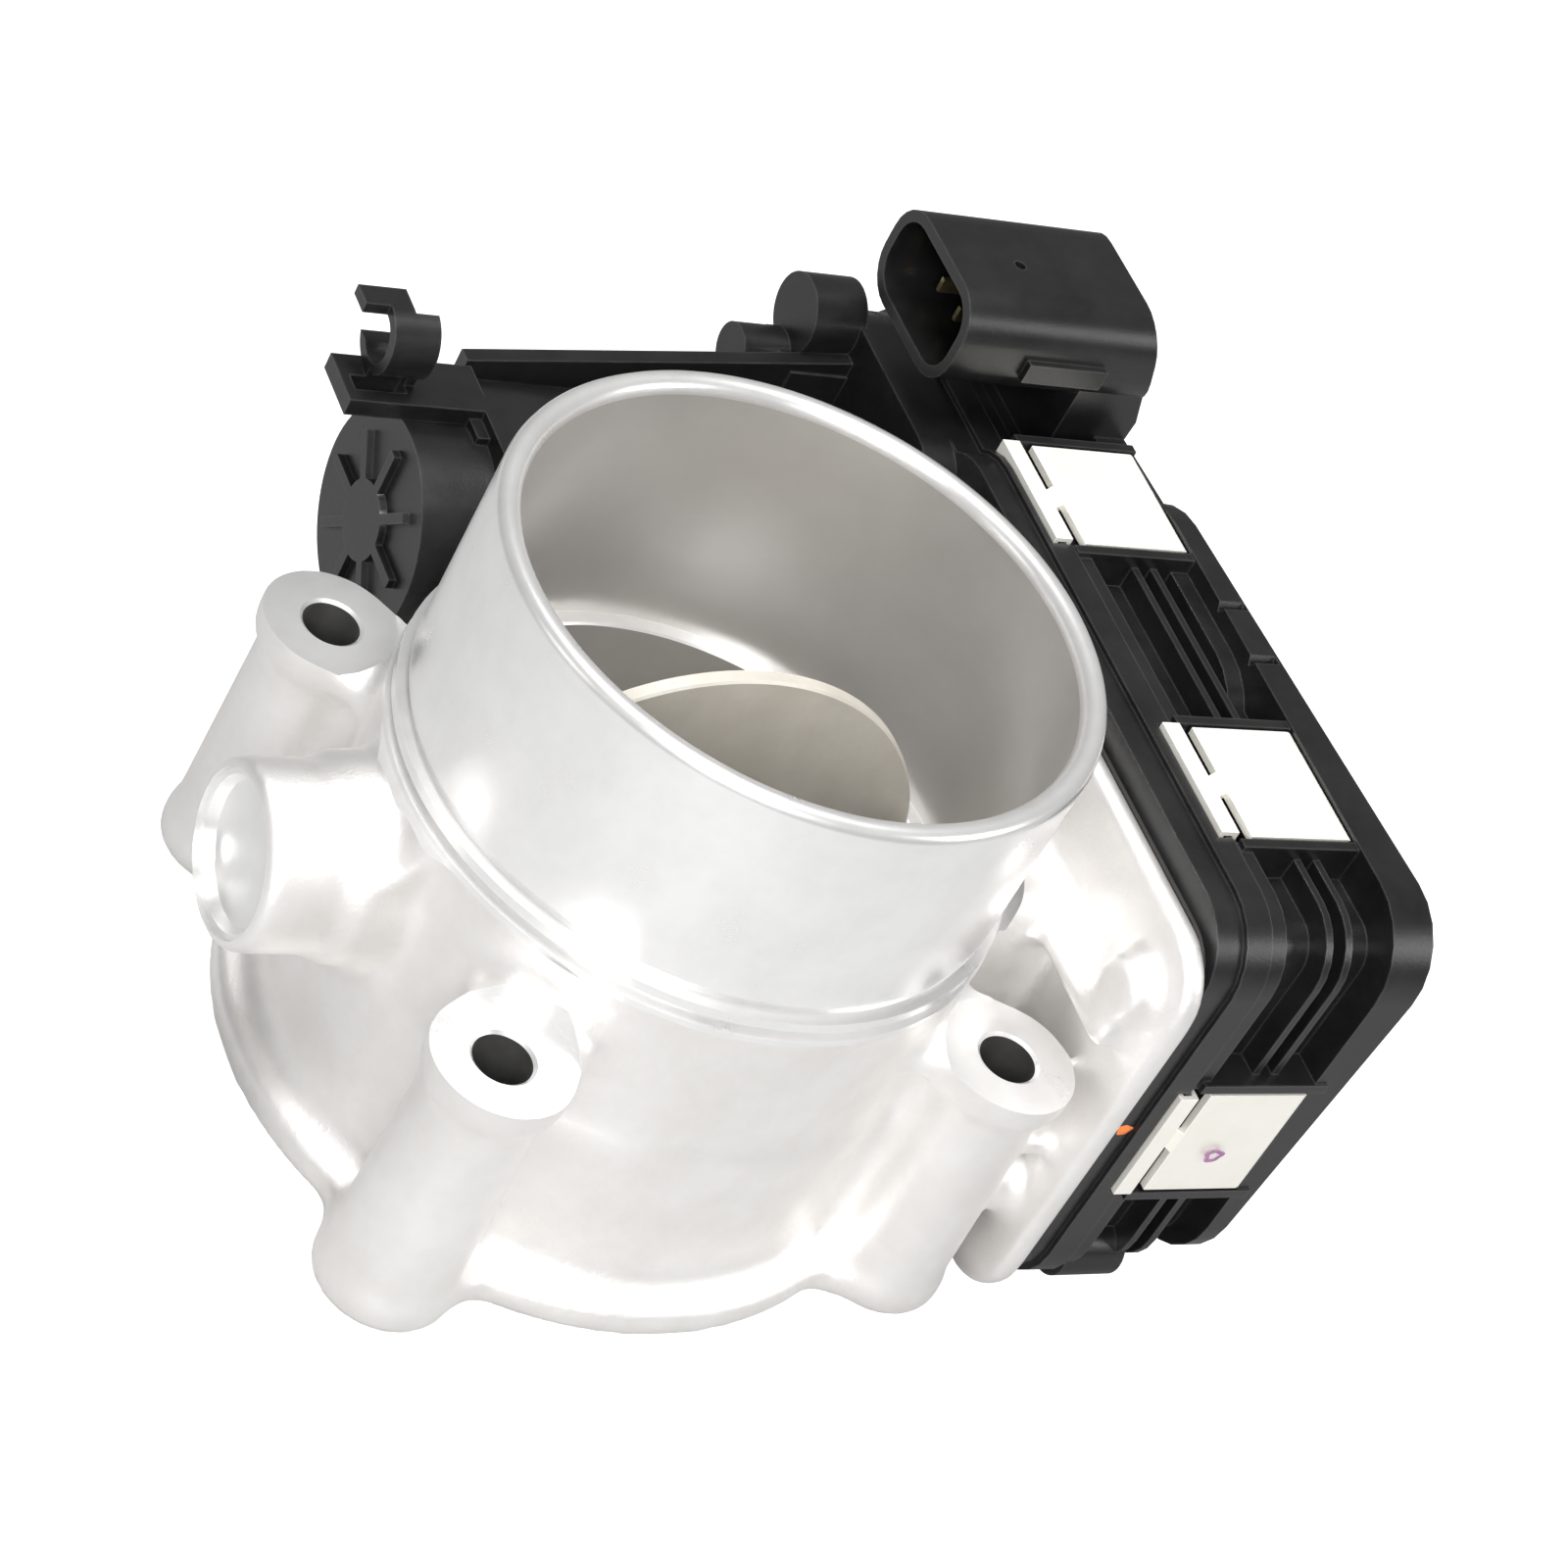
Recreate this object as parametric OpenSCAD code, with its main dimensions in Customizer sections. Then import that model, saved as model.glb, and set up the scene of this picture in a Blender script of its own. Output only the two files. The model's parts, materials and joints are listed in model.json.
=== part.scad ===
// Electronic throttle body: cast barrel on a four-bolt round flange, plate and
// shaft, geared motor drive behind a clipped plastic cover, side connector.
// Z is the bore axis (up = inlet), X the shaft axis (towards the gears).
// The plate is shown wide open; the mounting face is z = 0. Millimetres.

/* [Bore] */
// inlet spigot bore radius
inlet_r = 40; // [39.5:0.1:41]
// throttle bore radius below the ledge
throttle_r = 37.5; // [36.5:0.1:38]
// height of the ledge between the two bores
ledge_z = 49.5; // [48:0.5:52]
// total height of the casting
spigot_top = 93; // [90:0.5:98]
// outside radius of the inlet spigot
spigot_r = 43.6; // [43.2:0.1:44]

/* [Flange] */
// radius of the round flange
flange_r = 51; // [50:0.5:53]
// flange thickness
flange_t = 5; // [4:0.5:7]
// half the bolt spacing, both ways
bolt_half = 39; // [38.5:0.1:40]
// bolt hole radius
bolt_hole_r = 4.2; // [3.3:0.1:4.5]
// height of the bolt lands
land_top = 45.4; // [43:0.2:47]

/* [Shaft and plate] */
// height of the shaft axis
shaft_z = 40; // [39.5:0.1:40.5]
// shaft radius
shaft_r = 5; // [4.6:0.1:5]
// throttle plate thickness
plate_t = 2.4; // [2:0.1:2.8]

/* [Gear train] */
// sector gear teeth (full circle)
sector_teeth = 52; // [52]
// small intermediate gear teeth
small_teeth = 18; // [18]
// large intermediate gear teeth
large_teeth = 48; // [48]
// pinion teeth
pinion_teeth = 16; // [16]

/* [Housing] */
// top of the gear housing lip
lip_top = 77; // [76:0.5:78]
// outer face of the cover
cover_x = 89.5; // [89:0.5:91]

/* [Hidden] */
$fn = 96;

// gear layout: sector on the shaft, motor 3 mm higher, intermediate on the line between
stage1_m = 1;
stage2_m = 0.875;
d1 = stage1_m * (sector_teeth + small_teeth) / 2;
d2 = stage2_m * (large_teeth + pinion_teeth) / 2;
motor_rise = 3;
train_a = asin(motor_rise / (d1 + d2));
inter_y = d1 * cos(train_a);
inter_z = shaft_z + d1 * sin(train_a);
motor_y = (d1 + d2) * cos(train_a);
motor_z = shaft_z + (d1 + d2) * sin(train_a);

// stations along X
boss_end = -64.2;
plate_x0 = 51;      // back of the cast gear-side plate
plate_x1 = 55;      // its machined face
gasket_t = 0.6;
base_x0 = plate_x1 + gasket_t;
base_x1 = base_x0 + 4;
lip_x0 = 60;
joint_x = 64.4;     // housing / cover joint
rim_x0 = cover_x - 4;
sector_x0 = 66;
sector_x1 = 71;
small_x0 = 65.6;
large_x0 = 73.2;
large_x1 = 78;
pin_end = 82.4;
board_x0 = 80.4;
board_x1 = 82;
board_hole_y = [-14, 21];
board_hole_z = [shaft_z - 14, shaft_z + 16];

plate_r = throttle_r - 0.1;
run = 0.05;         // running clearance on radius
bearing_r_idle = 8;
bearing_r_drive = 9.5;
pillar_top_r = 8.4;
pillar_foot_r = 9.6;
land_r = 10.2;
land_t = 4.4;
web_x = 34;
web_top = 60;       // under the spigot, so a hose can seat
rib_x = 45;
foot_reach = 11;    // how far the foot webs run in under the flange
foot_t = flange_t - 0.3;

front_y = -46.7;
back_y = 90;
low_z = 2;
step_y = 56;        // behind this the housing top is lower, under the connector
back_top = 74.5;
lip_w = 3.6;
screw_yz = [[-40, 21], [-41, 62.5], [33, 12], [33, 66]];
screw_x0 = 48.6;    // tip of the housing screws, in blind holes
head_x = base_x1 - 0.2; // their heads sit on spot faces

// clips: [side, position along the side, set along X]; sides: 0 top, 1 front, 2 back, 3 underside
clip_w = 20.8;
clip_t = 0.8;
neck_w = 4;
slot_x = [61, 62.3];    // slot in the lip for the end of a clip
// the clip dips here, over the joint between cover and housing
dip_x0 = 63.3;
dip_x1 = 67.4;
dip_depth = 1.05;   // stays above the seal groove
groove = [1.4, 2.8];    // seal groove, measured in from the outline
clips = [[0, 41, 0], [0, -16.5, 1], [1, 37, 1.5], [2, 41, 0], [3, -16.5, 1], [3, 41, 0]];

cast_c = [0.86, 0.85, 0.83];
steel_c = [0.72, 0.73, 0.75];
brass_c = [0.80, 0.69, 0.48];
black_c = [0.10, 0.10, 0.10];
gear_c = [0.90, 0.88, 0.80];
tin_c = [0.93, 0.91, 0.84];

// ---------- helpers ----------
// a profile drawn as (y, z), pushed along X from x0 to x1
module along_x(x0, x1) translate([x0, 0, 0]) rotate([90, 0, 90]) linear_extrude(x1 - x0) children();
// a turned profile drawn as (r, x), spun about an X line through (y, z)
module turned_x(y, z) translate([0, y, z]) rotate([0, 90, 0]) rotate_extrude() children();
module rod(x0, x1, y, z, r, fn = 64)
  translate([x0, y, z]) rotate([0, 90, 0]) cylinder(r = r, h = x1 - x0, $fn = fn);
function corner(cy, cz, r, a0) = [for (i = [0:6]) [cy + r * cos(a0 + 15 * i), cz + r * sin(a0 + 15 * i)]];
function round_box(y0, y1, z0, z1, r) = concat(corner(y1 - r, z1 - r, r, 0), corner(y0 + r, z1 - r, r, 90),
  corner(y0 + r, z0 + r, r, 180), corner(y1 - r, z0 + r, r, 270));
// outline of the gear housing, moved in by d; the cover core uses a bigger d
module outline(d = 0) {
  polygon(round_box(front_y + d, step_y - d, low_z + d, lip_top - d, max(10 - d, 2)));
  polygon(round_box(0, back_y - d, low_z + d, back_top - d, max(10 - d, 2)));
}
function inv_deg(a) = tan(a) * 180 / PI - a;
// half the angle a tooth takes at radius r (20 degree involute, thinned for backlash)
function half_tooth(n, m, r, lash) = let (rp = n * m / 2, rb = rp * cos(20), rr = max(r, rb + 0.001))
  90 / n - lash / rp * 90 / PI + inv_deg(20) - inv_deg(acos(rb / rr));
function tooth(n, m, c, lash) = let (rp = n * m / 2, root = rp - 1.25 * m, tip = rp + 0.9 * m,
    rb = max(rp * cos(20), root + 0.02), rs = [root, rb, (rb + rp) / 2, rp, (rp + tip) / 2, tip])
  concat([for (r = rs) [r * cos(c - half_tooth(n, m, r, lash)), r * sin(c - half_tooth(n, m, r, lash))]],
    [for (k = [0:5]) let (r = rs[5 - k])
      [r * cos(c + half_tooth(n, m, r, lash)), r * sin(c + half_tooth(n, m, r, lash))]]);
module gear_profile(n, m, phase, first = 0, last = -1)
  polygon([for (i = [first:(last < 0 ? n - 1 : last)]) each tooth(n, m, phase + 360 * i / n, 0.12)]);

// ---------- casting ----------
module bolt_corners() for (sx = [-1, 1], sy = [-1, 1]) translate([sx * bolt_half, sy * bolt_half, 0])
  rotate(atan2(-sy, -sx)) children();

module barrel_outside() rotate_extrude($fn = 144) polygon([[0, 0], [flange_r, 0], [flange_r, flange_t],
  [flange_r - 3, flange_t], [46.6, flange_t + 1], [45.4, flange_t + 3.4], [45.4, 30.6], [44.3, 32],
  [44.3, 53.4], [45.2, 54.2], [45.2, 55.4], [43.3, 55.7], [43.3, 56.9], [44.8, 57.2], [44.8, 58.4],
  [43.1, 58.8], [43.1, 60], [spigot_r, 60.6], [spigot_r, spigot_top - 1.6],
  [spigot_r - 0.5, spigot_top - 0.5], [spigot_r - 1.4, spigot_top], [0, spigot_top]]);

module barrel_inside() rotate_extrude($fn = 144) polygon([[0, -1], [throttle_r + 1.8, -1], [throttle_r, 0.8],
  [throttle_r, ledge_z - 0.3], [throttle_r + 0.3, ledge_z], [inlet_r, ledge_z],
  [inlet_r, spigot_top - 2], [inlet_r + 0.4, spigot_top - 0.8], [inlet_r + 1.3, spigot_top],
  [inlet_r + 1.3, spigot_top + 1], [0, spigot_top + 1]]);

module body_casting() color(cast_c) difference() {
  union() {
    barrel_outside();
    // bolt pillars, feet and top lands, each tied back to the barrel
    bolt_corners() {
      cylinder(r = land_r, h = foot_t);
      cylinder(r1 = pillar_foot_r, r2 = pillar_top_r, h = land_top - land_t + 0.2);
      translate([0, 0, land_top - land_t]) cylinder(r = land_r, h = land_t);
      translate([0, -9.4, land_top - land_t]) cube([15, 18.8, land_t]);
      // foot web, a little lower than the foot and spreading into the flange
      linear_extrude(foot_t - 0.3) polygon([[0, -10], [foot_reach, -14.5], [foot_reach, 14.5], [0, 10]]);
      translate([0, -5.5, 1]) cube([15, 11, land_top - land_t]);
    }
    // idle-side shaft boss with its thicker root and the small tie to the bead
    rod(boss_end + 0.8, -40, 0, shaft_z, 13, 96);
    translate([boss_end, 0, shaft_z]) rotate([0, 90, 0]) cylinder(r1 = 12.3, r2 = 13, h = 0.8);
    rod(-51, -40, 0, shaft_z, 14.3, 96);
    translate([-48, -13, 46]) cube([8, 5, 11]);
    // drive-side boss, its side webs and the gear-side plate
    rod(40, plate_x0 + 1, 0, shaft_z, 14, 96);
    for (y = [-24, 18]) translate([web_x, y, 14]) cube([plate_x0 - web_x + 1, 4, web_top - 14]);
    for (z = [14, web_top - 4]) translate([web_x, -24, z]) cube([plate_x0 - web_x + 1, 46, 4]);
    for (z = [31, 54]) translate([rib_x, -45, z]) cube([plate_x0 - rib_x + 1, 24, 3]);
    along_x(plate_x0, plate_x1) polygon(round_box(-49.7, 40, 1.6, 73.4, 10));
    for (p = screw_yz) rod(46, plate_x0 + 1, p[0], p[1], 4.6, 48);
  }
  barrel_inside();
  bolt_corners() translate([0, 0, -1]) cylinder(r = bolt_hole_r, h = land_top + 2);
  // shaft bore and the pockets for bearings, seals and core plug
  rod(boss_end - 1, plate_x1 + 1, 0, shaft_z, shaft_r + run, 96);
  rod(-59, -45, 0, shaft_z, bearing_r_idle + 0.02, 96);
  rod(boss_end - 1, -60.2, 0, shaft_z, 11.4, 96);
  rod(-60.3, -58.9, 0, shaft_z, 7, 96);
  rod(41, 44, 0, shaft_z, 8.02, 96);
  rod(44, plate_x1 + 1, 0, shaft_z, bearing_r_drive + 0.02, 96);
  for (p = screw_yz) rod(screw_x0 - 0.6, plate_x1 + 1, p[0], p[1], 2.02, 48);
  // the back right pillar is cut flat to clear the motor case
  along_x(24, plate_x0 - 0.8) polygon(round_box(45.5, 84, 25, 63, 11.4));
}

// ---------- shaft line ----------
module throttle_shaft() color(steel_c) difference() {
  rod(-59.4, 72.8, 0, shaft_z, shaft_r, 96);
  // slot for the plate, screw flat and tapped holes
  translate([-throttle_r - 0.6, -plate_t / 2 - 0.02, shaft_z - 6])
    cube([2 * throttle_r + 1.2, plate_t + 0.04, 12]);
  translate([-24, -6, shaft_z - 6]) cube([48, 1.9, 12]);
  for (x = [-13, 13]) translate([x, 8, shaft_z]) rotate([90, 0, 0]) cylinder(r = 1.72, h = 16, $fn = 32);
  // groove for the circlip, flats for the sector hub
  difference() {
    rod(-58.75, -57.85, 0, shaft_z, shaft_r + 1);
    rod(-59, -57.5, 0, shaft_z, shaft_r - 0.6, 96);
  }
}

module throttle_plate() color(brass_c) difference() {
  translate([0, plate_t / 2, shaft_z]) rotate([90, 0, 0]) union() {
    translate([0, 0, 0.3]) cylinder(r = plate_r, h = plate_t - 0.6, $fn = 144);
    cylinder(r1 = plate_r - 0.4, r2 = plate_r, h = 0.3, $fn = 144);
    translate([0, 0, plate_t - 0.3]) cylinder(r1 = plate_r, r2 = plate_r - 0.4, h = 0.3, $fn = 144);
  }
  for (x = [-13, 13]) translate([x, 8, shaft_z]) rotate([90, 0, 0]) cylinder(r = 1.8, h = 16, $fn = 32);
}

module plate_screws() color(steel_c) for (x = [-13, 13]) translate([x, 0, shaft_z]) rotate([90, 0, 0])
  difference() {
    union() {
      translate([0, 0, -4.2]) cylinder(r = 1.7, h = 8.5, $fn = 32);
      translate([0, 0, 4.12]) cylinder(r = 3, h = 1.5, $fn = 48);
      translate([0, 0, 5.62]) cylinder(r1 = 3, r2 = 2.2, h = 0.5, $fn = 48);
    }
    for (a = [0, 90]) rotate(a) translate([-1.5, -0.3, 5]) cube([3, 0.6, 3]);
  }

module ring_x(x0, x1, r_in, r_out) difference() {
  rod(x0, x1, 0, shaft_z, r_out, 96);
  rod(x0 - 1, x1 + 1, 0, shaft_z, r_in, 96);
}

module idle_bearing() color(steel_c) ring_x(-57.6, -48.2, shaft_r + 0.03, bearing_r_idle);
module drive_bearing() color(steel_c) ring_x(44.2, 54.4, shaft_r + 0.03, bearing_r_drive);
module shaft_seals() color(black_c) {
  ring_x(-47.9, -45.2, shaft_r + 0.03, 8);
  ring_x(41.2, 43.8, shaft_r + 0.03, 8);
}
module shaft_circlip() color(steel_c) difference() {
  ring_x(-58.7, -57.9, shaft_r - 0.55, 6.7);
  translate([-59, -1.5, shaft_z]) cube([2, 3, 9]);
}
module core_plug() color(steel_c) difference() {
  rod(-63, -60.3, 0, shaft_z, 11.38, 96);
  translate([-64, 0, shaft_z]) rotate([0, 90, 0]) cylinder(r1 = 10.9, r2 = 9.8, h = 2.6);
}

// ---------- gear housing with the motor case ----------
motor_case_x0 = -25;
case_step_x = -13;
shelf_x0 = -34.3;
shelf_y0 = 66.1;
hook_y = 73.2;
hook_z = 68.6;
hook_r = 5.6;
hook_x0 = -30.2;
hook_x1 = -23;
arm_x0 = shelf_x0 + 0.2;
arm_w = 7.5;
arm_reach = 4;
// long wall on top of the motor case, its top rising a little towards the cover
wall_x0 = case_step_x + 0.3;
wall_y = 79;
wall_t = 2.6;
wall_z0 = 63;
wall_z1 = 69.6;

module gear_housing() color(black_c) difference() {
  union() {
    // base wall, wall round the rim and the lip the clips hold
    along_x(base_x0, base_x1) outline();
    along_x(base_x1 - 0.5, joint_x) difference() { outline(); outline(lip_w); }
    along_x(lip_x0, joint_x) difference() { outline(-0.8); outline(lip_w); }
    // thick back part behind the end of the casting
    along_x(50, base_x0 + 1) polygon(round_box(46.6, back_y - 1, 10, back_top, 9));
    // motor case: square-shouldered tube, round end with ribs
    along_x(case_step_x, 51) polygon(round_box(45.9, 80, 25.5, 62.5, 11));
    rod(motor_case_x0, 51, motor_y, motor_z, 16.8, 96);
    for (a = [0:45:135]) translate([motor_case_x0 - 1.2, motor_y, motor_z]) rotate([a, 0, 0])
      translate([0, -13, -0.8]) cube([2, 26, 1.6]);
    rod(motor_case_x0 - 1.2, motor_case_x0 + 1, motor_y, motor_z, 6, 48);
    // shelf over the round end, carrying the line hook, and its stiffening wall
    translate([shelf_x0, shelf_y0, 59.7]) cube([case_step_x - shelf_x0 + 1, 9.8, 2.8]);
    translate([case_step_x - 2, 62, 50]) cube([3, 13, 11]);
    rod(hook_x0, hook_x1, hook_y, hook_z, hook_r, 64);
    translate([arm_x0, hook_y, hook_z + hook_r - 1.7]) cube([arm_w, arm_reach, 1.7]);
    translate([hook_x0, hook_y - 3, 61]) cube([hook_x1 - hook_x0, 3.2, 4]);
    translate([0, wall_y, 0]) rotate([90, 0, 0]) linear_extrude(wall_t)
      polygon([[wall_x0, 50], [51, 50], [51, wall_z1], [wall_x0, wall_z0]]);
    // lugs at the back
    rod(42, 51, 84.6, 71.6, 6.3, 48);
    rod(34, 51, 84, 63.8, 4.3, 48);
    translate([40, 76, 45]) cube([11, 11, 22]);
    // boss for the intermediate pin
    rod(base_x1 - 0.5, small_x0 - 0.7, inter_y, inter_z, 5.4, 48);
  }
  // motor bore, shaft opening, pin and screw holes
  rod(motor_case_x0 + 2, base_x1 + 1, motor_y, motor_z, 15.15, 96);
  rod(base_x0 - 1, base_x1 + 1, 0, shaft_z, 10.5, 64);
  rod(base_x0 + 0.8, small_x0, inter_y, inter_z, 3.02, 48);
  for (p = screw_yz) {
    rod(base_x0 - 1, base_x1 + 1, p[0], p[1], 2.3, 48);
    rod(head_x, joint_x + 1, p[0], p[1], 3.9, 48);
  }
  for (s = [-1, 1]) rod(base_x0 - 3, base_x1 + 1, motor_y + s * 18.6, motor_z, 1.52, 32);
  // seal groove in the rim
  along_x(joint_x - 1.4, joint_x + 1) difference() { outline(groove[0]); outline(groove[1]); }
  // slots the clip ends drop into, and the dips they cross the joint in
  for (c = clips) at_clip(c) {
    translate([slot_x[0], -clip_w / 2 - 0.3, -dip_depth]) cube([slot_x[1] - slot_x[0], clip_w + 0.6, 3]);
    translate([dip_x0, -clip_w / 2 - 0.4, -dip_depth]) cube([dip_x1 - dip_x0, clip_w + 0.8, 3]);
  }
  // the hook is hollow and open at the back under its arm; its step leaves the arm narrower
  rod(shelf_x0, hook_x1 + 1, hook_y, hook_z, hook_r - 1.7, 64);
  translate([shelf_x0, hook_y + 0.5, hook_z - 3]) cube([hook_x1 - shelf_x0 + 1, 9, hook_r + 1.3]);
  translate([arm_x0 + arm_w, hook_y - 1, hook_z + 1]) cube([4, 9, hook_r + 1]);
  // pocket in the shelf in front of the hook
  translate([shelf_x0 + 1.6, shelf_y0 + 2.4, 58]) cube([8, 3, 6]);
}

module housing_gasket() color(black_c) along_x(plate_x1, base_x0) difference() {
  polygon(round_box(front_y + 0.4, 39, 2.6, 72.6, 8));
  polygon(round_box(front_y + 4, 36, 7, 69, 6));
  for (p = screw_yz) translate(p) circle(r = 2.6, $fn = 48);
}

module housing_screws() color(steel_c) for (p = screw_yz) difference() {
  union() {
    rod(screw_x0, head_x + 0.5, p[0], p[1], 1.98, 48);
    rod(head_x, head_x + 2.6, p[0], p[1], 3.6, 48);
  }
  rod(head_x + 1.2, head_x + 3, p[0], p[1], 1.9, 6);
}

// ---------- motor ----------
module motor_can() color(steel_c) difference() {
  union() {
    rod(-22, base_x1, motor_y, motor_z, 15, 96);
    along_x(base_x1, base_x1 + 1.5) polygon(round_box(motor_y - 22, motor_y + 22, motor_z - 9, motor_z + 9, 8));
  }
  rod(-20.8, base_x1 + 3, motor_y, motor_z, 13.8, 96);
  rod(-23, -20, motor_y, motor_z, 1.7, 48);
  for (s = [-1, 1]) rod(base_x1 - 1, base_x1 + 3, motor_y + s * 18.6, motor_z, 1.75, 32);
}
module motor_end_cap() color(black_c) difference() {
  rod(50, base_x1 + 1, motor_y, motor_z, 13.75, 96);
  rod(49, 56, motor_y, motor_z, 11.5, 96);
  rod(49, base_x1 + 3, motor_y, motor_z, 1.7, 48);
}
module motor_rotor() color(steel_c) {
  rod(-21.6, large_x1 + 1, motor_y, motor_z, 1.6, 48);
  rod(-14, 36, motor_y, motor_z, 11.2, 48);
  rod(40, 47, motor_y, motor_z, 6.5, 48);
}
module motor_screws() color(steel_c) for (s = [-1, 1]) {
  rod(base_x0 - 2, base_x1 + 1.5, motor_y + s * 18.6, motor_z, 1.5, 32);
  rod(base_x1 + 1.5, base_x1 + 3.6, motor_y + s * 18.6, motor_z, 2.8, 48);
}
module motor_pinion() color(steel_c) along_x(large_x0 - 0.5, large_x1 + 0.5)
  translate([motor_y, motor_z]) difference() {
    gear_profile(pinion_teeth, stage2_m, train_a + 180 - 180 / pinion_teeth);
    circle(r = 1.61, $fn = 48);
  }

// ---------- gears ----------
module intermediate_gear() color(gear_c) difference() {
  union() {
    along_x(small_x0, large_x0 + 0.2) translate([inter_y, inter_z])
      gear_profile(small_teeth, stage1_m, train_a + 180 - 180 / small_teeth);
    along_x(large_x0, large_x1) translate([inter_y, inter_z]) gear_profile(large_teeth, stage2_m, train_a);
    rod(large_x1 - 0.5, large_x1 + 1.5, inter_y, inter_z, 5.5, 48);
  }
  rod(small_x0 - 1, large_x1 + 3, inter_y, inter_z, 3.05, 48);
  // ring cut out of each side of the large gear to leave a thin web
  difference() {
    rod(large_x0 + 3.2, large_x1 + 1, inter_y, inter_z, 17.5, 64);
    rod(large_x0 + 3, large_x1 + 2, inter_y, inter_z, 7.5, 48);
  }
}
module intermediate_pin() color(steel_c) rod(base_x0 + 1, pin_end, inter_y, inter_z, 3, 48);

module sector_gear() color(gear_c) difference() {
  union() {
    along_x(sector_x0, sector_x1) translate([0, shaft_z]) {
      intersection() {
        gear_profile(sector_teeth, stage1_m, train_a);
        // the toothed part: from a little past the mesh round to the closed position
        polygon([[0, 0], [60 * cos(train_a + 20), 60 * sin(train_a + 20)], [60, -20],
          [40, -60], [60 * cos(train_a - 106), 60 * sin(train_a - 106)]]);
      }
      circle(r = 14.5);
    }
    rod(60.6, 76.2, 0, shaft_z, 8.8, 96);
  }
  rod(60, 72.9, 0, shaft_z, shaft_r + 0.01, 96);
  rod(73.4, 77, 0, shaft_z, 7.02, 96);
  // window in the web, and the hole the spring leg drops into
  along_x(sector_x0 - 1, sector_x1 + 1) translate([0, shaft_z])
    polygon([for (a = [-80:5:-10]) [21.5 * cos(a), 21.5 * sin(a)], for (a = [-10:-5:-80]) [16.5 * cos(a), 16.5 * sin(a)]]);
  rod(sector_x0 - 1, sector_x0 + 2, -12.2, shaft_z + 1.2, 1.3, 32);
}

// torsion spring: a wire tube swept round its turns, with one end bent into the sector web
spring_r = 12.2;
wire_r = 0.7;
spring_x0 = 61.2;
spring_len = 3.4;
turn_steps = 24;
spring_turns = 2;
leg_bend = 1.2;
// one ring of the tube: on the coil at angle a, or tilted by b round the bend of the leg
function ring_at(a, x, b = 0, reach = 0) = [for (k = [0:9]) let (t = 36 * k,
    side = wire_r * sin(t), out = spring_r + wire_r * cos(t),
    along = leg_bend * sin(b) - side * sin(b), px = x + leg_bend * (1 - cos(b)) + side * cos(b) + reach)
  [px, out * cos(a) - along * sin(a), shaft_z + out * sin(a) + along * cos(a)]];
module return_spring() color(steel_c) {
  n = turn_steps * spring_turns;
  x_end = spring_x0 + spring_len;
  rings = concat([for (i = [0:n]) ring_at(180 + 360 * i / turn_steps, spring_x0 + spring_len * i / n)],
    [for (b = [30, 60, 90]) ring_at(180, x_end, b)], [ring_at(180, x_end, 90, 1.4)]);
  last = len(rings) - 1;
  polyhedron(points = [for (r = rings) each r],
    faces = concat([[for (k = [0:9]) 9 - k]], [[for (k = [0:9]) last * 10 + k]],
    [for (i = [0:last - 1], k = [0:9]) [i * 10 + k, i * 10 + (k + 1) % 10, (i + 1) * 10 + (k + 1) % 10, (i + 1) * 10 + k]]));
}
module spring_sleeve() color(gear_c) ring_x(base_x1, 65.4, 9.1, 11.1);

module sensor_magnet() color(steel_c) rod(73.5, 76.6, 0, shaft_z, 7, 64);

module sensor_board() color([0.10, 0.35, 0.20]) {
  difference() {
    along_x(board_x0, board_x1) polygon(round_box(-17, 24, shaft_z - 17, shaft_z + 19, 2));
    for (y = board_hole_y, z = board_hole_z) rod(board_x0 - 1, board_x1 + 1, y, z, 1.3, 32);
  }
  translate([79, -4, shaft_z - 4]) cube([1.4, 8, 8]);
  translate([board_x1, 4, shaft_z + 6]) cube([1.2, 9, 6]);
}

// ---------- cover ----------
core_in = 5;        // how far the cover body sits inside the outline
wall = 2.5;
far_x = cover_x + 8;   // past the tilted outer face everywhere
inner_x = 83.6;     // floor of the gear space in the cover
con_x0 = 49.5;
con_y0 = 56.4;
con_y1 = 83.2;
con_z0 = 81.2;
con_z1 = 97.6;

leg_x0 = 75;
slope_x = 82.4;     // top edge of the sloping end wall

// carries a clip-sized thing to its place: x kept, y along the side, z out of it
module at_clip(c) {
  if (c[0] == 0) translate([c[2], c[1], lip_top]) children();
  if (c[0] == 1) translate([c[2], front_y, c[1]]) rotate([90, 0, 0]) children();
  if (c[0] == 2) translate([c[2], back_y, c[1]]) rotate([-90, 0, 0]) children();
  if (c[0] == 3) translate([c[2], c[1], low_z]) rotate([180, 0, 0]) children();
}

face_tilt = [0, 3.8, 2.6];
rim_end_y = 48;
back_rim_more = 3;
// everything beyond the cover's outer face, moved in by d; the face leans a little both ways
module beyond_face(d = 0) translate([cover_x + 3.4 - d, front_y, lip_top]) rotate(face_tilt)
  translate([0, -60, -160]) cube([40, 260, 260]);

module clip_pocket() {
  translate([dip_x1, -clip_w / 2 - 1, -7]) cube([rim_x0 - dip_x1 + 1, clip_w + 2, 6.9]);
  for (s = [-1, 1]) translate([joint_x + 0.1, s * (clip_w / 2 + 1.3) - 0.8, -7])
    cube([rim_x0 - joint_x + 0.6, 1.6, 8]);
}

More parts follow.
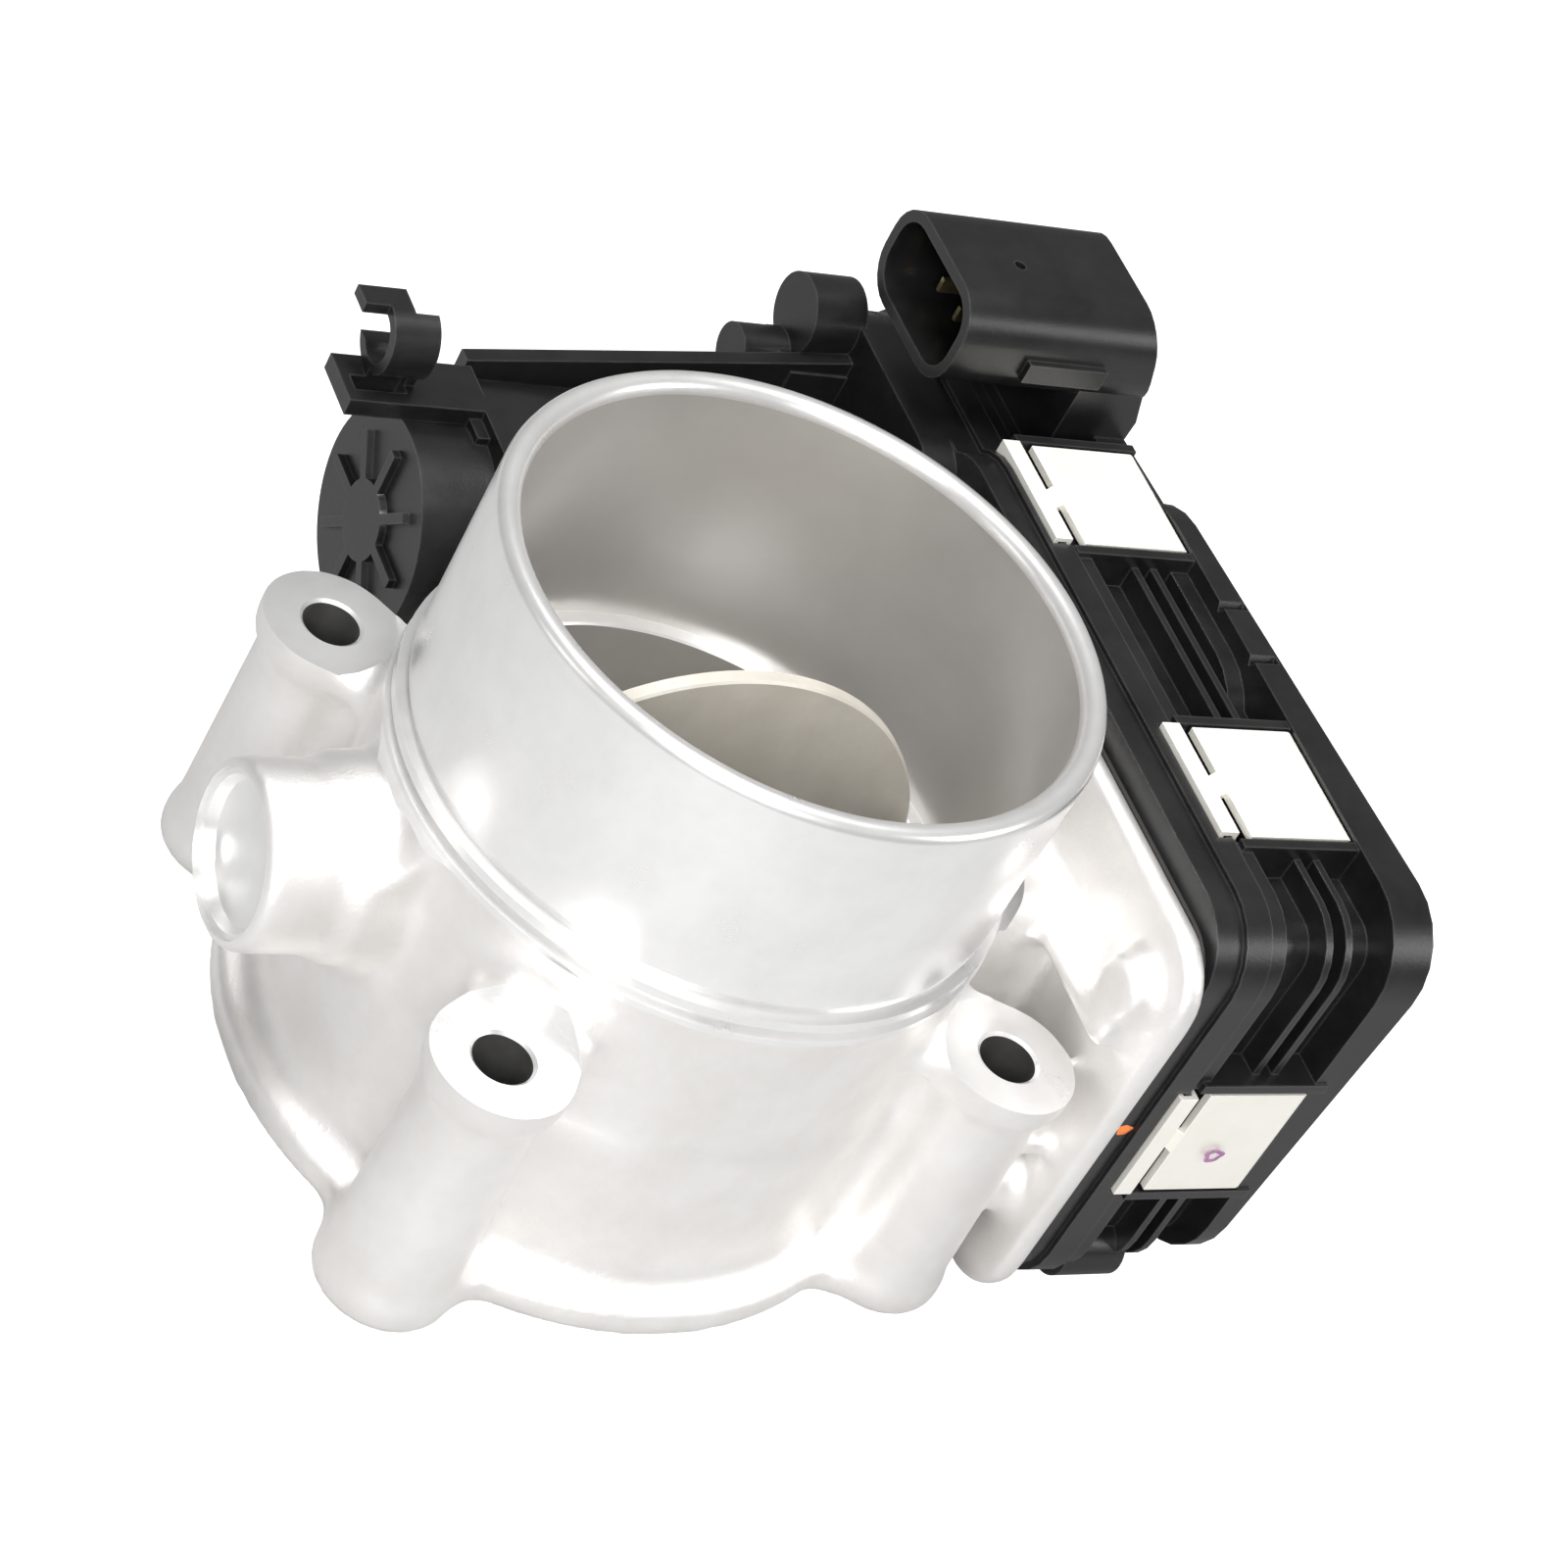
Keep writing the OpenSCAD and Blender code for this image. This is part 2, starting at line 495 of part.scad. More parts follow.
module cover_body() {
  along_x(joint_x, joint_x + 3) outline();
  along_x(joint_x + 2, far_x) outline(core_in);
  // two ribs running right round, then the outer rim
  for (x = [75.2, 78.6]) along_x(x, x + 1.2) outline(1.2);
  // fuller lower front corner
  rod(joint_x + 2.4, 77, front_y + 6.2, low_z + 3.6, 4.8, 48);
  along_x(rim_x0, far_x) polygon(round_box(front_y - 0.6, rim_end_y, 5, lip_top + 1.4, 12));
  along_x(rim_x0 - back_rim_more, far_x) polygon(round_box(0, back_y + 0.4, 5, back_top + 1, 12));
  for (c = clips) at_clip(c) clip_pocket();
}

module connector_shell() {
  // socket body and the leg down to the cover, both cut off by one sloping wall
  difference() {
    union() {
      along_x(con_x0, con_x0 + 42) polygon(round_box(con_y0, con_y1, con_z0, con_z1, 6.5));
      along_x(leg_x0, con_x0 + 42) polygon(round_box(con_y0 + 1.2, con_y1 - 1.2, 66, con_z0 + 5, 2));
    }
    translate([slope_x, 0, con_z1]) rotate([0, -17.6, 0]) translate([0, 0, -60]) cube([60, 120, 90]);
  }
  // key rib along the front of the socket
  translate([62, con_y0 - 1.2, con_z0 + 5.2]) cube([14, 3, 3.4]);
}

module gear_cover() color(black_c) {
  cover_shell();
  inside_bosses();
}
module cover_shell() difference() {
  union() {
    cover_body();
    connector_shell();
  }
  // gear space
  along_x(joint_x - 1, inner_x) outline(core_in + wall);
  beyond_face();
  // socket and the vent hole in its top
  along_x(con_x0 - 1, 71) polygon(round_box(con_y0 + 1.8, con_y1 - 1.8, con_z0 + 1.8, con_z1 - 1.8, 4.8));
  translate([62, 68.5, con_z1 - 3]) cylinder(r = 0.9, h = 5, $fn = 24);
  // pin slots through the back of the socket
  for (i = [0:5]) translate([70, pin_y(i) - 0.42, pin_z(i) - 1.22]) cube([7.5, 0.84, 2.44]);
  for (c = clips) at_clip(c) translate([dip_x0, -clip_w / 2 - 0.4, -1.7]) cube([dip_x1 - dip_x0, clip_w + 0.8, 3]);
  // relief notches in the rim between the clips
  for (y = [8, 19]) translate([rim_x0 - 0.6, y, lip_top + 3]) rotate([0, 90, 0]) cylinder(r = 3, h = 5, $fn = 3);
  // shallow dish in the outer face
  intersection() {
    beyond_face(1);
    along_x(inner_x + 1.2, far_x) outline(9);
  }
}
module inside_bosses() {
  // socket for the end of the intermediate pin
  difference() {
    rod(large_x1 + 2, inner_x + 0.2, inter_y, inter_z, 5.6, 48);
    rod(large_x1 + 1, pin_end + 0.2, inter_y, inter_z, 3.02, 48);
  }
  // posts the sensor board sits on, each with a pip through its hole
  for (y = board_hole_y, z = board_hole_z) {
    rod(board_x1, inner_x + 0.2, y, z, 2.4, 32);
    rod(board_x0 - 0.5, board_x1 + 0.3, y, z, 1.2, 32);
  }
}

// six pins in two rows of three
function pin_y(i) = (con_y0 + con_y1) / 2 + 6.5 * (i % 3 - 1);
function pin_z(i) = (con_z0 + con_z1) / 2 + (i < 3 ? -3 : 3);

module cover_seal() color([0.25, 0.20, 0.18]) along_x(joint_x - 1.35, joint_x) difference() {
  outline(groove[0] + 0.1);
  outline(groove[1] - 0.1);
}

module connector_pins() color(brass_c) for (i = [0:5])
  translate([57, pin_y(i) - 0.4, pin_z(i) - 1.2]) cube([20, 0.8, 2.4]);

// ---------- clips ----------
// bent strip: end in the lip's slot, narrow neck down over the joint, broad panel up to the rim
module clip(end_x) difference() {
  rotate([90, 0, 0]) translate([0, 0, -clip_w / 2]) linear_extrude(clip_w)
    polygon([[61.2, -0.9], [62, -0.9], [62, 0.85], [63.4, 0.85], [64.1, -0.95], [66.3, -0.95], [67.2, 0.06],
      [end_x - 1.2, 0.06], [end_x, 0.7], [end_x - 0.6, clip_t + 0.14], [66.9, clip_t + 0.14], [66, -0.15],
      [64.9, -0.15], [64.2, 1.65], [61.2, 1.65]]);
  // only a neck crosses the joint
  for (s = [-1, 1]) translate([64.3, s > 0 ? neck_w / 2 : -neck_w / 2 - clip_w, -3]) cube([2.5, clip_w, 6]);
}
// each panel stops just short of the cover's rim, which is wider at the back
function clip_end(c) = rim_x0 - 0.2 - c[2] - (c[0] == 2 ? back_rim_more : 0);
module cover_clips() color(tin_c) for (c = clips) at_clip(c) clip(clip_end(c));

body_casting();
throttle_shaft();
throttle_plate();
plate_screws();
idle_bearing();
drive_bearing();
shaft_seals();
shaft_circlip();
core_plug();
gear_housing();
housing_gasket();
housing_screws();
motor_can();
motor_end_cap();
motor_rotor();
motor_screws();
motor_pinion();
intermediate_gear();
intermediate_pin();
sector_gear();
return_spring();
spring_sleeve();
sensor_magnet();
sensor_board();
gear_cover();
cover_seal();
connector_pins();
cover_clips();
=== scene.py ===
import bpy, bmesh, json, math
from mathutils import Matrix, Vector


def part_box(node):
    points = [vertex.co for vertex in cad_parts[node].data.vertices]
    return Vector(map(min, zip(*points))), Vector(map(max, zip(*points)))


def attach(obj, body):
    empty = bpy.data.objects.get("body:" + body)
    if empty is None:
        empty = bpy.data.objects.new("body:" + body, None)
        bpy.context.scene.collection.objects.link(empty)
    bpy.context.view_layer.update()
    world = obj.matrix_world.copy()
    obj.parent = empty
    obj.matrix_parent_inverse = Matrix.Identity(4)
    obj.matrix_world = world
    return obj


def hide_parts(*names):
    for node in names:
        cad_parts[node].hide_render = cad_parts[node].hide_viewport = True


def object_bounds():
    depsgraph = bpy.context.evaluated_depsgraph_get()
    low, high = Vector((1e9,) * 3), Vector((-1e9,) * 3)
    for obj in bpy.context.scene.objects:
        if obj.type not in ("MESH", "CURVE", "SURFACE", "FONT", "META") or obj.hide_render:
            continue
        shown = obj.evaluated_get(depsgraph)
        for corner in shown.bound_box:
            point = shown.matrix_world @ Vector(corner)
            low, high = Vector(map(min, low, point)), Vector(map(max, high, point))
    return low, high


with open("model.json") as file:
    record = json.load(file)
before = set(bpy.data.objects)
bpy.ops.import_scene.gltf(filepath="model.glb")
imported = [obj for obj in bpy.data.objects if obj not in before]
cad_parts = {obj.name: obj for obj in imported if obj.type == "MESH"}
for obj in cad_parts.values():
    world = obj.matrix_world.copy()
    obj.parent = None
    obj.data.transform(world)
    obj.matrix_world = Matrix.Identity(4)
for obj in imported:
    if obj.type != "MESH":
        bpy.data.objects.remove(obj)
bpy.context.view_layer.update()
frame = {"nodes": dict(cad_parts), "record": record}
cad = frame["nodes"]
scene = bpy.context.scene

# ---- Camera ----
# Looks down on the spigot from the idle side, so that the bore, the three near bolt
# pillars and the clipped edge of the gear cover are all in view.
camera_lens = bpy.data.cameras.new("camera")
camera_lens.lens = 98.93
camera = bpy.data.objects.new("camera", camera_lens)
scene.collection.objects.link(camera)
to_right = Vector((0.847943, -0.340962, 0.405878))
downwards = Vector((0.033633, -0.729534, -0.683117))
ahead = Vector((0.529019, 0.592895, -0.607136))
camera.matrix_world = (Matrix.Translation((-0.298897, -0.349547, 0.414973))
                       @ Matrix((to_right, -downwards, -ahead)).transposed().to_4x4())
scene.camera = camera

# ---- Cast and turned body ----
# One aluminium gravity casting: barrel on a round flange, four bolt pillars, idle-side shaft
# boss and the plate that carries the gear case. It is blasted, then bore, spigot, bolt lands
# and shaft line are machined, which leaves crisp bright faces.
MM = 0.001
mounts = {mount["name"]: mount["dims"] for mount in frame["record"]["mounts"]}
bolt_half = mounts["mounting_bolts"]["spacing_x_mm"] / 2
bolt_r = mounts["mounting_bolts"]["hole_r_mm"]
spigot_r = mounts["inlet_spigot"]["r_mm"]
spigot_top = 93
inlet_r = 40            # bore of the spigot, down to the ledge
throttle_r = 37.5       # bore below the ledge
ledge = 49.5            # height of the ledge
shaft_z = 40            # height of the shaft line
shaft_line = (0, 0, shaft_z)
flange_r = 51
land_r = 10.2
land_top = 45.4
plate_x = (51, 55)      # back and machined face of the plate under the gear case
screw_yz = [(-40, 21), (-41, 62.5), (33, 12), (33, 66)]

node_types = {"noise": "ShaderNodeTexNoise", "coords": "ShaderNodeTexCoord", "bump": "ShaderNodeBump",
              "ramp": "ShaderNodeValToRGB", "mix": "ShaderNodeMix", "maths": "ShaderNodeMath",
              "shape": "ShaderNodeNewGeometry", "round_edge": "ShaderNodeBevel",
              "dot": "ShaderNodeVectorMath", "group": "ShaderNodeGroup", "ray": "ShaderNodeLightPath"}


def place(tree, kind, **settings):
    """Adds a shader node; a setting is one of its options or one of its inputs."""
    node = tree.nodes.new(node_types[kind])
    for name, value in settings.items():
        if hasattr(node, name) and name not in node.inputs:
            setattr(node, name, value)
        else:
            node.inputs[name].default_value = value
    return node


def surface_group(name, inputs, outputs):
    """An empty shader group with number inputs and the outputs named."""
    tree = bpy.data.node_groups.new(name, "ShaderNodeTree")
    for label, value in inputs:
        socket = tree.interface.new_socket(label, in_out="INPUT", socket_type="NodeSocketFloat")
        socket.default_value = value
    for label, kind in outputs:
        tree.interface.new_socket(label, in_out="OUTPUT", socket_type=kind)
    return tree, tree.nodes.new("NodeGroupInput"), tree.nodes.new("NodeGroupOutput")


# fine grain: a bump height made of a coarse and a fine noise, and a patchy mask
grain, grain_in, grain_out = surface_group(
    "fine_grain", [("Scale", 1500.0), ("Patch Scale", 60.0), ("Coarse Share", 0.4)],
    [("Height", "NodeSocketFloat"), ("Patches", "NodeSocketFloat")])
where = place(grain, "coords")
fine = place(grain, "noise", Detail=3.0, Roughness=0.6)
coarse = place(grain, "noise", Detail=2.0)
patches = place(grain, "noise", Detail=4.0, Roughness=0.65)
third = place(grain, "maths", operation="DIVIDE")
third.inputs[1].default_value = 5.0
blend = place(grain, "mix", data_type="FLOAT")
link = grain.links.new
for noise in (fine, coarse, patches):
    link(where.outputs["Object"], noise.inputs["Vector"])
link(grain_in.outputs["Scale"], fine.inputs["Scale"])
link(grain_in.outputs["Scale"], third.inputs[0])
link(third.outputs[0], coarse.inputs["Scale"])
link(grain_in.outputs["Patch Scale"], patches.inputs["Scale"])
link(grain_in.outputs["Coarse Share"], blend.inputs[0])
link(fine.outputs[0], blend.inputs[2])
link(coarse.outputs[0], blend.inputs[3])
link(blend.outputs[0], grain_out.inputs["Height"])
link(patches.outputs[0], grain_out.inputs["Patches"])

# worn edges: a mask that is high where a rounded edge would turn away from the face
edges, edges_in, edges_out = surface_group(
    "worn_edges", [("Width", 0.0006), ("Break Up", 240.0)], [("Mask", "NodeSocketFloat")])
soft = place(edges, "round_edge", samples=4)
true_face = place(edges, "shape")
turned = place(edges, "dot", operation="DOT_PRODUCT")
rise = place(edges, "ramp")
rise.color_ramp.elements[0].position = 0.80
rise.color_ramp.elements[0].color = (1, 1, 1, 1)
rise.color_ramp.elements[1].position = 0.995
rise.color_ramp.elements[1].color = (0, 0, 0, 1)
spots = place(edges, "noise", Detail=4.0)
spots_at = place(edges, "coords")
broken = place(edges, "maths", operation="MULTIPLY")
link = edges.links.new
link(edges_in.outputs["Width"], soft.inputs["Radius"])
link(soft.outputs[0], turned.inputs[0])
link(true_face.outputs["Normal"], turned.inputs[1])
link(turned.outputs["Value"], rise.inputs[0])
link(spots_at.outputs["Object"], spots.inputs["Vector"])
link(edges_in.outputs["Break Up"], spots.inputs["Scale"])
link(rise.outputs[0], broken.inputs[0])
link(spots.outputs[0], broken.inputs[1])
link(broken.outputs[0], edges_out.inputs["Mask"])


def finish_of(name, low, high, rough, metal, edge=None, grain_scale=1500.0, bump=0.15, depth=0.0002,
              patch=60.0, edge_width=0.0006, specular=0.5):
    """One material: colour between low and high by patches, a range of roughness, grain and worn edges."""
    made = bpy.data.materials.new(name)
    made.use_nodes = True
    tree = made.node_tree
    shader = tree.nodes["Principled BSDF"]
    shader.inputs["Metallic"].default_value = metal
    shader.inputs["Specular IOR Level"].default_value = specular
    skin = place(tree, "group", node_tree=grain)
    skin.inputs["Scale"].default_value = grain_scale
    skin.inputs["Patch Scale"].default_value = patch
    tint = place(tree, "mix", data_type="RGBA")
    tint.inputs[6].default_value = (*low, 1)
    tint.inputs[7].default_value = (*high, 1)
    spread = place(tree, "ramp")
    spread.color_ramp.elements[0].position = 0.35
    spread.color_ramp.elements[1].position = 0.65
    tree.links.new(skin.outputs["Patches"], spread.inputs[0])
    tree.links.new(spread.outputs[0], tint.inputs[0])
    dull = place(tree, "mix", data_type="FLOAT")
    dull.inputs[2].default_value, dull.inputs[3].default_value = rough
    tree.links.new(skin.outputs["Patches"], dull.inputs[0])
    colour = tint.outputs[2]
    if edge:
        rub = place(tree, "group", node_tree=edges)
        rub.inputs["Width"].default_value = edge_width
        bare = place(tree, "mix", data_type="RGBA")
        bare.inputs[7].default_value = (*edge, 1)
        tree.links.new(rub.outputs["Mask"], bare.inputs[0])
        tree.links.new(colour, bare.inputs[6])
        colour = bare.outputs[2]
    relief = place(tree, "bump", Strength=bump, Distance=depth)
    tree.links.new(skin.outputs["Height"], relief.inputs["Height"])
    tree.links.new(colour, shader.inputs["Base Color"])
    tree.links.new(dull.outputs[0], shader.inputs["Roughness"])
    tree.links.new(relief.outputs[0], shader.inputs["Normal"])
    return made


cast_skin = finish_of("cast_aluminium", (0.90, 0.88, 0.86), (0.96, 0.945, 0.93), (0.46, 0.56), 0.88,
                      (0.97, 0.97, 0.96), grain_scale=1700.0, bump=0.30, depth=0.0003, patch=70.0)
turned_face = finish_of("machined_aluminium", (0.90, 0.895, 0.89), (0.95, 0.945, 0.94), (0.24, 0.34), 0.75,
                        (0.99, 0.99, 0.99), grain_scale=2600.0, bump=0.05, depth=0.0001, patch=120.0,
                        edge_width=0.0004)
# painted shade: the bore's colour is darker than the machined rim, standing in for the shade inside the bore
bore_painted_shade = finish_of("honed_bore_painted_shade", (0.66, 0.645, 0.625), (0.71, 0.695, 0.675), (0.34, 0.42), 0.8,
                      (0.97, 0.97, 0.97), grain_scale=2600.0, bump=0.05, depth=0.0001, patch=40.0,
                      edge_width=0.0004)
# painted shade: the bolt hole walls are coloured near black, standing in for the shade inside the holes
drilled_painted_shade = finish_of("drilled_hole_painted_shade", (0.26, 0.255, 0.25), (0.32, 0.315, 0.31), (0.35, 0.5), 0.9,
                    (0.8, 0.8, 0.8), grain_scale=2600.0, bump=0.05, depth=0.0001, patch=120.0,
                    edge_width=0.0003)


def solid(name, verts, faces, material=None):
    """A closed mesh given in millimetres, its faces turned outwards."""
    mesh = bpy.data.meshes.new(name)
    mesh.from_pydata([Vector(v) * MM for v in verts], [], faces)
    made = bpy.data.objects.new(name, mesh)
    scene.collection.objects.link(made)
    if material:
        mesh.materials.append(material)
    shape = bmesh.new()
    shape.from_mesh(mesh)
    bmesh.ops.recalc_face_normals(shape, faces=shape.faces)
    shape.to_mesh(mesh)
    shape.free()
    return made


def spun(name, profile, steps=96, at=(0, 0, 0), along="z", material=None):
    """A closed profile of (radius, height) spun about an axis; radius 0 ends close on the axis."""
    verts, faces, rings = [], [], []
    for r, h in profile:
        ring = []
        for k in range(1 if r < 1e-6 else steps):
            a = 2 * math.pi * k / steps
            spot = (r * math.cos(a), r * math.sin(a), h)
            if along == "x":
                spot = (h, r * math.cos(a), r * math.sin(a))
            ring.append(len(verts))
            verts.append([spot[i] + at[i] for i in range(3)])
        rings.append(ring)
    for one, two in zip(rings, rings[1:] + rings[:1]):
        for k in range(steps):
            a, b = one[k % len(one)], one[(k + 1) % len(one)]
            c, d = two[(k + 1) % len(two)], two[k % len(two)]
            corners = list(dict.fromkeys((a, b, c, d)))
            if len(corners) > 2:
                faces.append(corners)
    return solid(name, verts, faces, material)


def pushed(name, outline, start, end, along="x", material=None):
    """An outline pushed straight along an axis; its points are given on the other two axes."""
    where_to = {"x": lambda p, h: (h, p[0], p[1]), "y": lambda p, h: (p[0], h, p[1]),
                "z": lambda p, h: (p[0], p[1], h)}[along]
    n = len(outline)
    verts = [where_to(p, h) for h in (start, end) for p in outline]
    faces = [[i, (i + 1) % n, n + (i + 1) % n, n + i] for i in range(n)]
    faces += [list(range(n))[::-1], list(range(n, 2 * n))]
    return solid(name, verts, faces, material)


def block(name, low, high):
    """A square-edged block between two corners."""
    return pushed(name, [(low[1], low[2]), (high[1], low[2]), (high[1], high[2]), (low[1], high[2])],
                  low[0], high[0])


def rounded(y0, y1, z0, z1, r, steps=8):
    """The outline of a rectangle with round corners."""
    corners = [(y1 - r, z1 - r, 0), (y0 + r, z1 - r, 90), (y0 + r, z0 + r, 180), (y1 - r, z0 + r, 270)]
    turns = [(cy, cz, math.radians(a + 90 * i / steps)) for cy, cz, a in corners for i in range(steps + 1)]
    return [(cy + r * math.cos(a), cz + r * math.sin(a)) for cy, cz, a in turns]


def welded(name, parts):
    """Several solids as one object."""
    merged = bmesh.new()
    for part in parts:
        merged.from_mesh(part.data)
        bpy.data.objects.remove(part)
    mesh = bpy.data.meshes.new(name)
    merged.to_mesh(mesh)
    merged.free()
    made = bpy.data.objects.new(name, mesh)
    scene.collection.objects.link(made)
    return made


def settle(made):
    """Applies the modifiers to the mesh."""
    done = bpy.data.meshes.new_from_object(made.evaluated_get(bpy.context.evaluated_depsgraph_get()))
    made.modifiers.clear()
    made.data = done
    return made


def cast_round(made, grain_size, fillet, passes):
    """Melts a heap of solids into one casting, its inner corners filled to about the fillet radius."""
    for push in (fillet, -fillet, 0) if fillet else (0,):
        melt = made.modifiers.new("melt", "REMESH")
        melt.mode = "VOXEL"
        melt.voxel_size = grain_size * MM
        if push:
            swell = made.modifiers.new("swell", "DISPLACE")
            swell.strength = push * MM
            swell.mid_level = 0
    ease = made.modifiers.new("ease", "SMOOTH")
    ease.factor = 0.5
    ease.iterations = passes
    return settle(made)


def cut(made, tool):
    """Machines the tool's shape out of a casting; the new faces take the tool's material."""
    carve = made.modifiers.new("cut", "BOOLEAN")
    carve.operation = "DIFFERENCE"
    carve.solver = "MANIFOLD"
    carve.object = tool
    settle(made)
    bpy.data.objects.remove(tool)


def smooth_by_angle(made, degrees):
    """Smooth shading that keeps the corners sharper than the angle."""
    made.data.shade_smooth()
    made.data.set_sharp_from_angle(angle=math.radians(degrees))


# the rough casting, with stock left on the spigot and the lands for machining
stock_r = 45.4
barrel_side = [(0, 0), (flange_r, 0), (flange_r, 4.4), (50.4, 5), (47.6, 5.2), (46.2, 6.4), (45.4, 9),
               (45.4, 30.6), (44.3, 32), (44.3, 53.4), (stock_r, 54.4), (stock_r, 94.5), (0, 94.5)]
rough = [spun("barrel", barrel_side, 144)]
for side_x, side_y in ((-1, -1), (-1, 1), (1, -1), (1, 1)):
    turn = Matrix.Rotation(math.atan2(-side_y, -side_x), 4, "Z")
    there = Matrix.Translation(Vector((side_x * bolt_half, side_y * bolt_half, 0)) * MM)
    corner = [spun("foot", [(0, 0), (land_r, 0), (land_r, 4.7), (0, 4.7)], 48),
              spun("pillar", [(0, 1), (9.6, 1), (8.4, 42), (0, 42)], 48),
              spun("land", [(0, 41), (land_r, 41), (land_r, 47.4), (0, 47.4)], 48),
              pushed("land_web", [(0, -10), (15, -8.2), (15, 8.2), (0, 10)], 41, 45.3, "z"),
              pushed("foot_web", [(0, -9.9), (11, -14.5), (11, 14.5), (0, 9.9)], 0, 4.4, "z"),
              pushed("pillar_web", [(0, -5.5), (15, -5.5), (15, 5.5), (0, 5.5)], 1, 43, "z")]
    for part in corner:
        part.data.transform(there @ turn)
    rough += corner
rough += [spun("idle_boss", [(0, -64), (12.6, -64), (13, -63.4), (13, -38), (0, -38)], 72, shaft_line, "x"),
          spun("idle_root", [(0, -51), (14.4, -51), (14.4, -38), (0, -38)], 72, shaft_line, "x"),
          pushed("lug", [(-49.5, 44.5), (-40, 44.5), (-40, 57), (-44.5, 57)], -13, -7.5, "y")]
barrel = cast_round(welded("barrel_casting", rough), 0.8, 1.9, 4)

# the gear side is melted apart from the barrel, so the narrow gap beside the pillar stays open
web_x, web_y, web_z, web_t = 34, (-24, 18), (14, 56), 4
into_plate = 52
side = [spun("drive_boss", [(0, 38), (14, 38), (14, into_plate), (0, into_plate)], 72, shaft_line, "x"),
        pushed("plate", rounded(-49.7, 40, 1.6, 73.4, 10), *plate_x)]
side += [block("web", (web_x, y, web_z[0]), (into_plate, y + web_t, web_z[1] + web_t)) for y in web_y]
side += [block("web", (web_x, web_y[0], z), (into_plate, web_y[1] + web_t, z + web_t)) for z in web_z]
side += [block("rib", (45, -45, z), (into_plate, -21, z + 3)) for z in (31, 54)]
side += [spun("screw_boss", [(0, 46), (4.6, 46), (5.2, into_plate), (0, into_plate)], 40, (0, y, z), "x")
         for y, z in screw_yz]
gear_side = cast_round(welded("gear_side_casting", side), 0.8, 1.2, 3)

casting = cast_round(welded("casting", [barrel, gear_side]), 0.72, 0, 5)
casting.data.materials.clear()
for finish in (cast_skin, turned_face, bore_painted_shade, drilled_painted_shade):
    casting.data.materials.append(finish)

# machining: bore and spigot in one set-up, then the shaft line, lands, case clearance and screw holes
bore_tool = [(0, -1), (39.4, -1), (throttle_r, 0.8), (throttle_r, 49.2), (37.8, ledge), (inlet_r, ledge),
             (inlet_r, 90.9), (40.15, 91.8), (40.6, 92.5), (41.3, 92.93), (42.1, spigot_top), (42.8, 92.8),
             (43.35, 92.2), (spigot_r, 91.4), (spigot_r, 60.6), (43.1, 60.1), (43.1, 59.1), (44.8, 58.7),
             (44.8, 57.2), (43.4, 56.9), (43.4, 55.9), (45.1, 55.6), (45.2, 54.6), (46.9, 54.6), (46.9, 96),
             (0, 96)]
shaft_tool = [(0, -66), (11.4, -66), (11.4, -60.2), (7, -60.2), (7, -58.9), (8.02, -58.9), (8.02, -45),
              (5.05, -45), (5.05, 44), (9.52, 44), (9.52, 57), (0, 57)]
bolt_tool = [(0, -1), (bolt_r, -1), (bolt_r, 45), (bolt_r + 0.5, land_top), (10.65, land_top), (10.65, 49),
             (0, 49)]
screw_tool = [(0, 46.6), (2.02, 46.6), (2.02, 56), (0, 56)]
cut(casting, spun("bore_tool", bore_tool, 192, material=turned_face))
cut(casting, spun("shaft_tool", shaft_tool, 96, shaft_line, "x", turned_face))
for side_x, side_y in ((-1, -1), (-1, 1), (1, -1), (1, 1)):
    cut(casting, spun("bolt_tool", bolt_tool, 64, (side_x * bolt_half, side_y * bolt_half, 0),
                      material=turned_face))
cut(casting, pushed("case_tool", rounded(45.5, 84, 25, 63, 11.4), 24, 50.2, material=turned_face))
for y, z in screw_yz:
    cut(casting, spun("screw_tool", screw_tool, 32, (0, y, z), "x", turned_face))
clean = bmesh.new()
clean.from_mesh(casting.data)
bmesh.ops.remove_doubles(clean, verts=clean.verts, dist=0.03 * MM)
bmesh.ops.dissolve_degenerate(clean, edges=clean.edges, dist=0.02 * MM)
clean.to_mesh(casting.data)
clean.free()
# the two bores are honed after turning and stay duller than the rim, their colour darker as painted shade
# inside the bore; the bolt holes are left as they come off the drill, their walls coloured near black as
# painted shade inside the holes
bolt_centre = Vector((bolt_half, bolt_half))
turned_slot, painted_shade_bore_slot, painted_shade_hole_slot = 1, 2, 3
for face in casting.data.polygons:
    middle = face.center / MM
    upright = face.material_index == turned_slot and face.normal.z < 0.5
    if upright and middle.xy.length < inlet_r + 0.05 and 0.9 < middle.z < 91:
        face.material_index = painted_shade_bore_slot
    from_bolt = (Vector((abs(middle.x), abs(middle.y))) - bolt_centre).length
    if 1 < middle.z < 45 and from_bolt < bolt_r + 0.2:
        face.material_index = painted_shade_hole_slot
casting.name = "cast_body"
smooth_by_angle(casting, 32)
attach(casting, "body")
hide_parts("body_casting")

# ---- Moulded gear case, motor case and cover ----
# Glass-filled nylon, injection moulded in black. The case is screwed to the casting and the
# cover is held on it by spring clips. Outer edges are slightly rounded by the mould.
nylon = finish_of("black_nylon", (0.006, 0.006, 0.0063), (0.011, 0.011, 0.0115), (0.26, 0.40), 0.0,
                  (0.09, 0.09, 0.091), grain_scale=2200.0, bump=0.18, depth=0.0002, patch=90.0,
                  edge_width=0.0005, specular=0.6)
mould_edge = 0.35       # radius left on a corner by the mould


